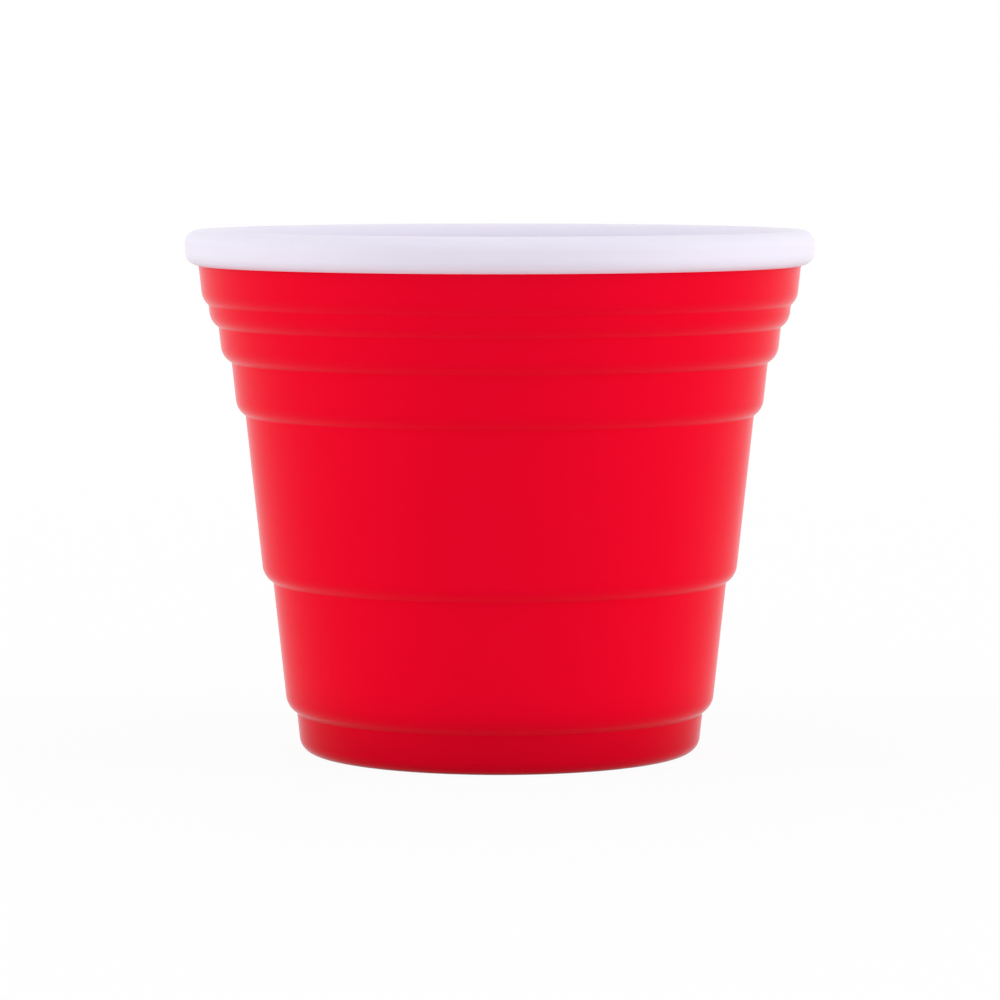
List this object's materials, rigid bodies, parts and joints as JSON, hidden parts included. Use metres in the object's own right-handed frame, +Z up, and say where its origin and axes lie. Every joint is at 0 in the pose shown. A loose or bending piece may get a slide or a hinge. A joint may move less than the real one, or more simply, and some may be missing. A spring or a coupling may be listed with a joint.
{
  "type": "shot cup",
  "caption": "Small tapering plastic drinking cup with stepped sides, a rounded rim bead and a foot ring, open at the top.",
  "frame": {"origin": "centre of the foot ring, on the surface that the cup stands on", "axes": "+Z up along the cup's own axis; X and Y level, and alike because the cup is round"},
  "size_m": [0.057, 0.057, 0.0475],
  "materials": {
    "red_plastic": "satin"
  },
  "bodies": {
    "root": {"cup": "red_plastic"}
  },
  "joints": []
}
